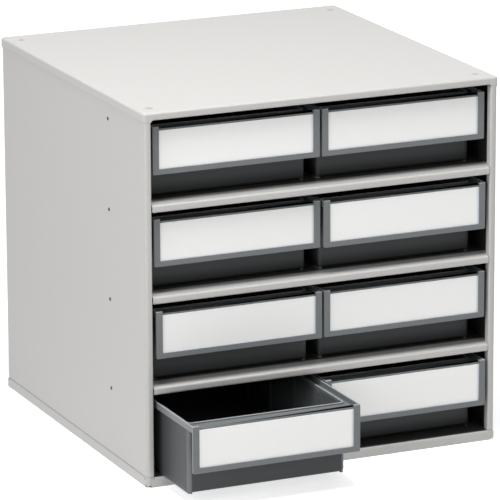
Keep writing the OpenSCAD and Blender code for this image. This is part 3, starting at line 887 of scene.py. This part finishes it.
class Bin:
    """Sizes of a bin in its own frame: x = 0 at its middle, y = 0 at its front, z = 0 on its shelf."""

    def __init__(self, sizes):
        low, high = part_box("bin_row1_left")
        self.sizes = sizes
        self.half = (high.x - low.x) / 2
        self.l = high.y - low.y
        self.h = high.z - low.z
        self.body_half = self.half - sizes.rim
        self.body_end = self.l - sizes.rim
        self.wall_top = self.h - sizes.wall_drop
        self.lip = self.h - sizes.border
        self.plate_t = sizes.frame_wall + sizes.slot + sizes.backing
        self.plate_foot = self.h - sizes.plate
        self.window_half = self.half - sizes.post
        self.window_foot = self.plate_foot + sizes.bar
        self.backing_top = self.h - sizes.backing_drop

    def tub_ring(self, wall, side_in, end_in, level):
        """The body's plan outline at that level, wall inside its outer face and in by side_in and end_in."""
        radius = self.sizes.upright_r - wall
        corners = rectangle(
            -self.body_half + wall + side_in, self.sizes.plate_reach + wall + end_in,
            self.body_half - wall - side_in, self.body_end - wall - end_in, radius)
        return flat_ring(corners, level)

    def tub_foot(self, wall):
        """Rings up the tub's rounded foot, on the surface that lies wall inside its outside."""
        belly, toe = self.sizes.belly_r - wall, self.sizes.toe_r - wall
        foot = self.sizes.runner + wall
        rings = []
        for end_in, rise in reversed(quarter(toe, 8)):
            level = min(rise, belly)
            side_in = belly - math.sqrt(belly * belly - (belly - level) ** 2)
            rings.append(self.tub_ring(wall, side_in, end_in, foot + rise))
        return rings

    def body(self):
        """The open tub: outside foot and wall, rounded top edge, inside wall and floor."""
        wall, soft = self.sizes.wall, self.sizes.wall_edge
        rings = self.tub_foot(0.0)
        rings += [self.tub_ring(i, 0, 0, self.wall_top - d) for i, d in quarter(soft)]
        rings += [self.tub_ring(wall - i, 0, 0, self.wall_top - d) for i, d in reversed(quarter(soft))]
        rings += reversed(self.tub_foot(wall))
        return skin(rings)

    def runners(self):
        """The two runners under the long sides, which the bin stands and slides on."""
        s = self.sizes
        outer, inner = self.body_half - s.runner_in, self.body_half - s.runner_in - s.runner_w
        front, rear = s.plate_reach + s.runner_in, self.body_end - s.runner_in
        round_r = s.upright_r - s.runner_in
        outline = [(-outer, front, round_r), (-inner, front, 0), (-inner, rear, 0), (-outer, rear, round_r)]
        left = prism(outline, 0, s.runner + 0.8 * s.wall, along_z, CRISP)
        return gathered([left, mirrored(left)])

    def cavity(self, more):
        """The space inside the walls, larger all round by more."""
        wall = self.sizes.wall - more
        return skin(self.tub_foot(wall) + [self.tub_ring(wall, 0, 0, self.h)])

    @staticmethod
    def block(left, front, right, rear, low, high):
        """An upright block with small round edges."""
        return prism(rectangle(left, front, right, rear, CRISP), low, high, along_z, CRISP, steps=3)

    def ribs(self):
        """Pairs of ribs that hold a divider, down both inside walls."""
        s = self.sizes
        inner = self.body_half - s.wall - s.rib_in
        outer = self.body_half - s.wall / 2
        foot, top = s.runner + s.wall / 2, self.wall_top - s.rib_drop
        solids = []
        for i in range(s.divider_slots):
            for way in (-1, 1):
                middle = s.plate_reach + (i + 1) * s.slot_pitch + way * (s.slot_gap + s.rib) / 2
                for a, b in ((-outer, -inner), (inner, outer)):
                    solids.append(self.block(a, middle - s.rib / 2, b, middle + s.rib / 2, foot, top))
        return combined(gathered(solids), "INTERSECT", self.cavity(s.wall / 2))

    def rim_ring(self, amount, level):
        """Outline of the rim moved in by amount, from the label front round the rear."""
        half, start, end = self.half - amount, self.plate_t - self.sizes.rim_wall + amount, self.l - amount
        radius = self.sizes.upright_r - amount
        corners = [(-half, start, SHARP_R), (half, start, SHARP_R), (half, end, radius), (-half, end, radius)]
        return flat_ring(corners, level)

    def rim(self):
        """The channelled rim: a ledge out from the body and an upright border round it."""
        s = self.sizes
        t, soft = s.rim_wall, s.edge
        inner = s.wall / 2
        rings = [self.rim_ring(i, self.lip + d) for i, d in reversed(quarter(soft))]
        rings += [self.rim_ring(i, self.h - d) for i, d in quarter(soft, 8)]
        rings += [self.rim_ring(t - i, self.h - d) for i, d in reversed(quarter(soft))]
        rings += [self.rim_ring(t + i, self.lip + t + d) for i, d in quarter(soft)]
        rings += [self.tub_ring(inner, 0, 0, self.lip + t), self.tub_ring(inner, 0, 0, self.lip)]
        front = rectangle(-self.window_half, self.lip + t + soft, self.window_half, self.h + OVER, 0)
        waste = prism(front, 0, self.plate_t + 2 * soft, along_y)
        return combined(skin(rings, closed=True), "DIFFERENCE", waste)

    def lugs(self):
        """The lugs at the rear corners that meet the stop pins."""
        s = self.sizes
        back = self.body_end - s.upright_r
        low, high = self.lip - s.lug, self.lip + s.rim_wall / 2
        solids = []
        for side in (-1, 1):
            a, b = sorted((side * (self.half - s.rim_wall / 2), side * (self.body_half - s.wall / 2)))
            solids.append(self.block(a, back - s.lug_wall, b, back, low, high))
        return gathered(solids)

    def label_front(self):
        """The hanging front: uprights and a bar round the window, and a slot open at the top for the card."""
        s = self.sizes
        above = self.h + 5 * OVER
        corners = [
            (-self.half, self.plate_foot, s.plate_corner), (self.half, self.plate_foot, s.plate_corner),
            (self.half, self.h, s.edge), (-self.half, self.h, s.edge),
        ]
        block = prism(corners, 0, self.plate_t, along_y, s.edge)

        def around_window(wider, top, radius):
            """The window's outline moved out by wider at its sides and foot."""
            half = self.window_half + wider
            return rectangle(-half, self.window_foot - wider, half, top, radius)

        slot_back = s.frame_wall + s.slot
        frame_block = combined(
            block, "DIFFERENCE",
            flared(around_window(0, above, s.edge), 0, self.plate_t + OVER, along_y, 0.6 * s.edge),
            prism(around_window(s.slot_in, above, s.edge), s.frame_wall, slot_back, along_y))
        backing = around_window(s.slot_in + OVER, self.backing_top, CRISP)
        return combined(frame_block, "UNION", prism(backing, slot_back, self.plate_t, along_y, s.edge))

    def mesh(self):
        body = combined(self.body(), "UNION", self.runners(), self.rim(), self.ribs(), self.lugs())
        return combined(body, "UNION", self.label_front())


def label_card_mesh(low, high):
    """A label card with rounded corners, standing in its slot; low and high are its corners on the bin."""
    return prism(rectangle(low.x, low.z, high.x, high.z, CARD_CORNER), low.y, high.y, along_y, CARD_EDGE)


# ------------------------------------------------------------------- operators


class Step:
    """What the operators share: each can be undone."""

    bl_options = {"REGISTER", "UNDO"}


def enamelled(scene, kind, makers):
    """Makes and enamels sheets of that kind; makers has what makes the mesh for each of the nodes."""
    cabinet = Cabinet(scene.cabinet_sheet)
    coat = enamel(scene.cabinet_finishes, f"enamelled_{kind}", cabinet, BAY_SHADE_DEPTH[kind])
    for node, make in makers.items():
        name = f"{node}_enamelled"
        add_piece(name, finished(make(cabinet), name), coat, "cabinet_enamel", "cabinet", node)
    return {"FINISHED"}


class CABINET_OT_top_panel(Step, bpy.types.Operator):
    """Make the enamelled top panel"""

    bl_idname = "parts_cabinet.top_panel"
    bl_label = "Top panel"

    def execute(self, context):
        return enamelled(context.scene, "shell", {"top_panel": top_panel_mesh})


class CABINET_OT_base_pan(Step, bpy.types.Operator):
    """Make the enamelled base pan"""

    bl_idname = "parts_cabinet.base_pan"
    bl_label = "Base pan"

    def execute(self, context):
        return enamelled(context.scene, "shell", {"base_pan": base_pan_mesh})


class CABINET_OT_side_panels(Step, bpy.types.Operator):
    """Make the two side panels with their front stiles"""

    bl_idname = "parts_cabinet.side_panels"
    bl_label = "Side panels"

    def execute(self, context):
        return enamelled(context.scene, "side", {
            "left_side": side_panel_mesh, "right_side": lambda cabinet: mirrored(side_panel_mesh(cabinet)),
        })


class CABINET_OT_back_panel(Step, bpy.types.Operator):
    """Make the flat back panel"""

    bl_idname = "parts_cabinet.back_panel"
    bl_label = "Back panel"

    def execute(self, context):
        return enamelled(context.scene, "shell", {"back_panel": back_panel_mesh})


class CABINET_OT_shelves(Step, bpy.types.Operator):
    """Make the three shelves"""

    bl_idname = "parts_cabinet.shelves"
    bl_label = "Shelves"

    def execute(self, context):
        tops = {shelf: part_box(shelf)[1].z for shelf in SHELVES}
        makers = {shelf: functools.partial(shelf_mesh, top=top) for shelf, top in tops.items()}
        return enamelled(context.scene, "shelf", makers)


class CABINET_OT_fastenings(Step, bpy.types.Operator):
    """Make the stop pins in the sides and the rivets in the back"""

    bl_idname = "parts_cabinet.fastenings"
    bl_label = "Stop pins and rivets"

    def execute(self, context):
        scene = context.scene
        cabinet, sizes = Cabinet(scene.cabinet_sheet), scene.cabinet_fastening
        finishes = scene.cabinet_finishes
        low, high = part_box("left_stop_pins")
        pin = stop_pin_mesh(cabinet, sizes, low.x, high.x)
        heights = evenly(low.z + sizes.pin_collar, high.z - sizes.pin_collar, len(SHELVES) + 1)
        pins = gathered([moved(pin, 0, (low.y + high.y) / 2, z) for z in heights])
        black = metal("blackened_steel", finishes.oxide, roughness=0.45, shine=0.6)
        for side, shape in zip(SIDES, (pins, mirrored(pins))):
            mesh = finished(shape, f"{side}_stop_pins_turned")
            add_piece(mesh.name, mesh, black, "blackened_steel", "cabinet", f"{side}_stop_pins")
        low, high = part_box("back_rivets")
        head_r = RIVET_DOME[-1][0] * MM
        heights = evenly(low.z + head_r, high.z - head_r, sizes.rivets)
        rivet = rivet_mesh(cabinet, sizes.rivet_shank)
        rivets = gathered([moved(rivet, x, 0, z) for x in (low.x + head_r, high.x - head_r) for z in heights])
        mesh = finished(rivets, "back_rivets_domed")
        bright = metal("zinc_steel", finishes.steel, roughness=0.34, shine=1.0)
        add_piece(mesh.name, mesh, bright, "zinc_steel", "cabinet", "back_rivets")
        return {"FINISHED"}


def evenly(first, last, number):
    """That many values from first to last, evenly apart."""
    return [first + (last - first) * i / (number - 1) for i in range(number)]


class CABINET_OT_bins(Step, bpy.types.Operator):
    """Make the eight moulded bins"""

    bl_idname = "parts_cabinet.bins"
    bl_label = "Bins"

    def execute(self, context):
        scene = context.scene
        b = Bin(scene.cabinet_bin)
        mesh = finished(b.mesh(), "bin_moulded")
        # The highlighted bin has a full painted highlight on its front corners and no painted shade at its
        # foot; the others have a faint highlight and a darker foot.
        foot_shaded_coat = plastic(scene.cabinet_finishes, b, "bin_plastic", corner_highlight=0.1, foot_shade=0.75)
        highlighted_coat = plastic(scene.cabinet_finishes, b, "bin_plastic_rubbed", corner_highlight=1.0, foot_shade=0.0)
        highlighted_mesh = mesh.copy()
        highlighted_mesh.name = "bin_moulded_rubbed"
        for bay in BAYS:
            shape, coat = (highlighted_mesh, highlighted_coat) if bay == HIGHLIGHT_BAY else (mesh, foot_shaded_coat)
            add_piece(f"bin_{bay}_moulded", shape, coat, "bin_plastic", bay, f"bin_{bay}", at=bin_origin(bay))
        return {"FINISHED"}


class CABINET_OT_label_cards(Step, bpy.types.Operator):
    """Make the eight white label cards"""

    bl_idname = "parts_cabinet.label_cards"
    bl_label = "Label cards"

    def execute(self, context):
        scene = context.scene
        origin = bin_origin(BAYS[0])
        low, high = (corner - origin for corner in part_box(f"card_{BAYS[0]}"))
        mesh = finished(label_card_mesh(low, high), "label_card_cut")
        white = card(scene.cabinet_finishes, Bin(scene.cabinet_bin))
        for bay in BAYS:
            add_piece(f"card_{bay}_cut", mesh, white, "label_card", bay, f"card_{bay}", at=bin_origin(bay))
        return {"FINISHED"}


def bin_origin(bay):
    """Where that bin's own frame lies: middle of its front's foot, on its shelf."""
    low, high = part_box(f"bin_{bay}")
    return Vector(((low.x + high.x) / 2, low.y, low.z))


class CABINET_OT_studio(Step, bpy.types.Operator):
    """Make the pale floor, the lamps and the camera"""

    bl_idname = "parts_cabinet.studio"
    bl_label = "Studio"

    def execute(self, context):
        setup = context.scene.cabinet_studio
        cabinet = Cabinet(context.scene.cabinet_sheet)
        centre = Vector((0.0, (cabinet.front + cabinet.rear) / 2, cabinet.top / 2))
        make_floor(setup)
        make_sky(context.scene)
        for name, (offset, width) in LAMPS.items():
            lamp(f"{name}_lamp", centre + Vector(offset), centre, width, getattr(setup, name))
        context.scene.camera = make_camera(setup, centre)
        context.scene.view_settings.view_transform = "Standard"
        return {"FINISHED"}


def lamp(name, place, target, width, watts):
    """A square soft lamp at place that faces target."""
    data = bpy.data.lights.new(name, "AREA")
    data.shape = "SQUARE"
    data.size = width
    data.energy = watts
    thing = bpy.data.objects.new(name, data)
    thing.location = place
    thing.rotation_euler = (target - place).to_track_quat("-Z", "Y").to_euler()
    bpy.context.scene.collection.objects.link(thing)


def make_camera(setup, centre):
    """The camera, placed by azimuth and elevation about the cabinet's centre, and aimed a little off it."""
    a, e = setup.azimuth, setup.elevation
    back = Vector((math.sin(a) * math.cos(e), -math.cos(a) * math.cos(e), math.sin(e)))
    right = Vector((math.cos(a), math.sin(a), 0.0))
    up = back.cross(right)
    place = centre + back * setup.distance
    aim = centre + right * setup.aim_right - up * setup.aim_down
    data = bpy.data.cameras.new("camera")
    data.lens = setup.lens
    data.sensor_width = 36.0
    data.clip_end = 50.0
    camera = bpy.data.objects.new("camera", data)
    turned = (aim - place).to_track_quat("-Z", "Y").to_matrix() @ Matrix.Rotation(setup.roll, 3, "Z")
    camera.matrix_world = Matrix.Translation(place) @ turned.to_4x4()
    bpy.context.scene.collection.objects.link(camera)
    return camera


def make_floor(setup):
    """A wide pale floor: white to the eye and in reflections, and dimmer in the light that it throws back."""
    corners = rectangle(-FLOOR_HALF, -FLOOR_HALF, FLOOR_HALF, FLOOR_HALF, 0)
    floor = bpy.data.objects.new("floor", prism(corners, -FLOOR_THICKNESS, 0.0, along_z))
    bpy.context.scene.collection.objects.link(floor)
    n = Nodes(material("pale_floor"))

    def glowing(rgb, strength):
        """A matte surface of that colour which also gives off an even light."""
        matte = n.add("BsdfDiffuse", {"Color": shade(rgb)})
        glow = n.add("Emission", {"Color": WHITE, "Strength": strength})
        return n.add("AddShader", {0: matte.outputs[0], 1: glow.outputs[0]}).outputs[0]

    away = n.add("VectorMath", {0: n.add("TexCoord").outputs["Object"]}, operation="LENGTH").outputs["Value"]
    near_white = n.between(n.ramp(away, *GLOW_FROM_TO, smooth=True), *FLOOR_GLOW)
    cast, shown = glowing(setup.floor, setup.bounce), glowing(FLOOR_GREY, near_white)
    floor.data.materials.append(n.output("Material", n.add("MixShader", {0: n.seen(), 1: cast, 2: shown})))


def make_sky(scene):
    """A sky that is white where it is seen or reflected, and gives no light of its own."""
    n = Nodes(bpy.data.worlds.new("studio_sky"))
    scene.world = n.output("World", n.add("Background", {"Color": WHITE, "Strength": n.seen()}))


# ----------------------------------------------------------------------- panel


class CABINET_PT_sidebar(bpy.types.Panel):
    """Lists what builds the cabinet's finished pieces"""

    bl_idname = "CABINET_PT_sidebar"
    bl_label = "Parts bin cabinet"
    bl_space_type = "VIEW_3D"
    bl_region_type = "UI"
    bl_category = "Cabinet"

    def draw(self, context):
        for settings in GROUPS:
            group = getattr(context.scene, settings)
            box = self.layout.box()
            for name in group.__annotations__:
                box.prop(group, name)
        for operator in OPERATORS:
            self.layout.operator(operator.bl_idname)


GROUPS = {
    "cabinet_sheet": SheetSizes,
    "cabinet_bin": BinSizes,
    "cabinet_fastening": FasteningSizes,
    "cabinet_finishes": Finishes,
    "cabinet_studio": StudioSetup,
}
OPERATORS = (
    CABINET_OT_top_panel,
    CABINET_OT_base_pan,
    CABINET_OT_side_panels,
    CABINET_OT_back_panel,
    CABINET_OT_shelves,
    CABINET_OT_fastenings,
    CABINET_OT_bins,
    CABINET_OT_label_cards,
    CABINET_OT_studio,
)
CLASSES = (*GROUPS.values(), *OPERATORS, CABINET_PT_sidebar)


def register():
    for cls in CLASSES:
        bpy.utils.register_class(cls)
    for name, group in GROUPS.items():
        setattr(bpy.types.Scene, name, bpy.props.PointerProperty(type=group))


def unregister():
    for name in GROUPS:
        delattr(bpy.types.Scene, name)
    for cls in reversed(CLASSES):
        bpy.utils.unregister_class(cls)


def main():
    register()
    bpy.ops.parts_cabinet.top_panel()
    bpy.ops.parts_cabinet.base_pan()
    bpy.ops.parts_cabinet.side_panels()
    bpy.ops.parts_cabinet.back_panel()
    bpy.ops.parts_cabinet.shelves()
    bpy.ops.parts_cabinet.fastenings()
    bpy.ops.parts_cabinet.bins()
    bpy.ops.parts_cabinet.label_cards()
    bpy.ops.parts_cabinet.studio()


if __name__ == "__main__":
    main()
